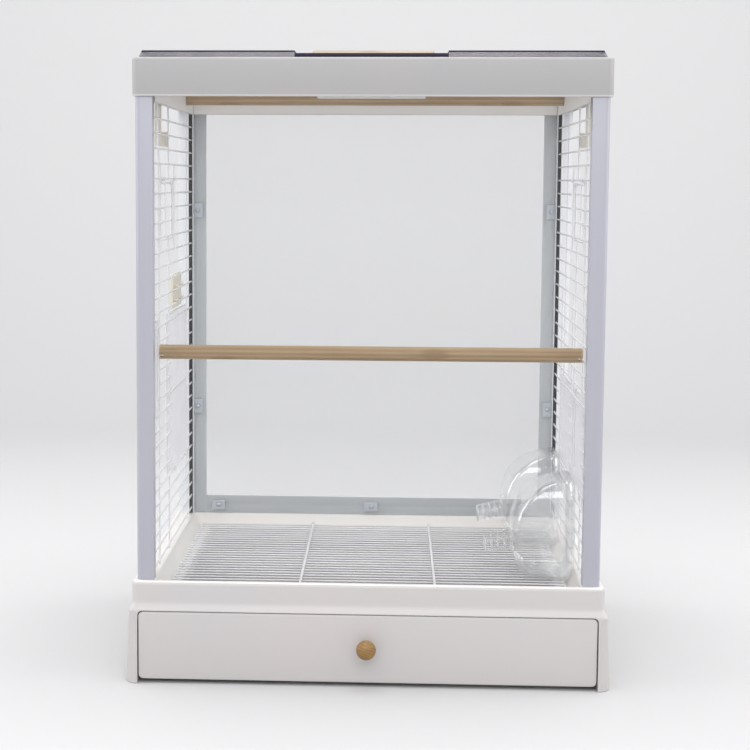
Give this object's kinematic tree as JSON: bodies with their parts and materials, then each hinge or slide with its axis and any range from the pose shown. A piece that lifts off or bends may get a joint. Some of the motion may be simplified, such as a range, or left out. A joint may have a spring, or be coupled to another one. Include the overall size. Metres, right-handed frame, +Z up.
{
  "type": "bird cage",
  "caption": "Square bird cage with clear front and rear panels, wire side walls with doors, perches, hooded feeders, a hinged smoked roof with a handle, and a drawer base.",
  "frame": {"origin": "middle of the footprint, on the surface that the cage stands on", "axes": "+Z up, the drawer and clear front panel face -Y, +X is the cage's right side seen from the front"},
  "size_m": [0.4878, 0.4296, 0.6448],
  "materials": {
    "base_plastic": "satin moulded",
    "grate_wire": "gloss paint",
    "drawer_plastic": "satin moulded",
    "knob_wood": "lacquered",
    "screw_steel": "plain",
    "post_metal": "satin paint",
    "clear_panel": "polished clear",
    "white_plastic": "satin moulded",
    "clip_plastic": "satin moulded",
    "cap_plastic": "satin moulded",
    "cream_plastic": "satin moulded",
    "wall_wire": "gloss paint",
    "door_wire": "gloss paint",
    "perch_wood": "sanded",
    "feeder_plastic": "polished clear",
    "smoked_plastic": "polished smoked",
    "pin_steel": "plain",
    "grip_wood": "sanded"
  },
  "bodies": {
    "cage": {"base_shell": "base_plastic", "floor_grate": "grate_wire", "front_left_post": "post_metal", "front_right_post": "post_metal", "rear_left_post": "post_metal", "rear_right_post": "post_metal", "rear_rail": "post_metal", "front_panel": "clear_panel", "front_panel_pull": "white_plastic", "rear_panel": "clear_panel", "panel_clips": "clip_plastic", "clip_screws": "screw_steel", "cap_frame": "cap_plastic", "left_roof_buckle": "cream_plastic", "right_roof_buckle": "cream_plastic", "left_wire_wall": "wall_wire", "right_wire_wall": "wall_wire", "door_hinge_loops": "door_wire", "entry_latch": "cream_plastic", "lower_perch": "perch_wood", "upper_perch": "perch_wood", "roof_hinge_pins": "pin_steel"},
    "drawer_unit": {"drawer": "drawer_plastic", "drawer_knob": "knob_wood", "knob_screw": "screw_steel"},
    "roof": {"roof_lid": "smoked_plastic", "handle_brackets": "white_plastic"},
    "handle": {"handle_bail": "pin_steel", "handle_grip": "grip_wood"},
    "entry_door_unit": {"entry_door": "door_wire"},
    "left_upper_door_unit": {"left_upper_door": "door_wire"},
    "right_upper_door_unit": {"right_upper_door": "door_wire"},
    "left_feeder_door_unit": {"left_feeder_door": "door_wire"},
    "front_feeder_door_unit": {"front_feeder_door": "door_wire"},
    "rear_feeder_door_unit": {"rear_feeder_door": "door_wire"},
    "front_feeder": {"front_feeder_cup": "feeder_plastic", "front_feeder_hood": "feeder_plastic"},
    "rear_feeder": {"rear_feeder_cup": "feeder_plastic", "rear_feeder_hood": "feeder_plastic"}
  },
  "joints": [
    {"name": "drawer_slide", "type": "slide", "parent": "cage", "child": "drawer_unit", "axis": [0, -1, 0], "range_m": [0, 0.3]},
    {"name": "roof_hinge", "type": "hinge", "parent": "cage", "child": "roof", "pos_m": [0, 0.20228, 0.629], "axis": [-1, 0, 0], "range_deg": [0, 100]},
    {"name": "handle_hinge", "type": "hinge", "parent": "roof", "child": "handle", "pos_m": [0, 0.06237, 0.6373], "axis": [-1, 0, 0], "range_deg": [0, 180]},
    {"name": "entry_door_hinge", "type": "hinge", "parent": "cage", "child": "entry_door_unit", "pos_m": [-0.22152, 0, 0.1836], "axis": [0, -1, 0], "range_deg": [0, 150]},
    {"name": "left_upper_door_hinge", "type": "hinge", "parent": "cage", "child": "left_upper_door_unit", "pos_m": [-0.22152, 0, 0.5028], "axis": [0, 1, 0], "range_deg": [0, 120]},
    {"name": "right_upper_door_hinge", "type": "hinge", "parent": "cage", "child": "right_upper_door_unit", "pos_m": [0.22152, 0, 0.5028], "axis": [0, -1, 0], "range_deg": [0, 120]},
    {"name": "left_feeder_door_slide", "type": "slide", "parent": "cage", "child": "left_feeder_door_unit", "axis": [0, 0, 1], "range_m": [0, 0.09]},
    {"name": "front_feeder_door_slide", "type": "slide", "parent": "cage", "child": "front_feeder_door_unit", "axis": [0, 0, 1], "range_m": [0, 0.09]},
    {"name": "rear_feeder_door_slide", "type": "slide", "parent": "cage", "child": "rear_feeder_door_unit", "axis": [0, 0, 1], "range_m": [0, 0.09]},
    {"name": "front_feeder_lift", "type": "slide", "parent": "cage", "child": "front_feeder", "axis": [0, 0, 1], "range_m": [0, 0.01]},
    {"name": "rear_feeder_lift", "type": "slide", "parent": "cage", "child": "rear_feeder", "axis": [0, 0, 1], "range_m": [0, 0.01]}
  ]
}
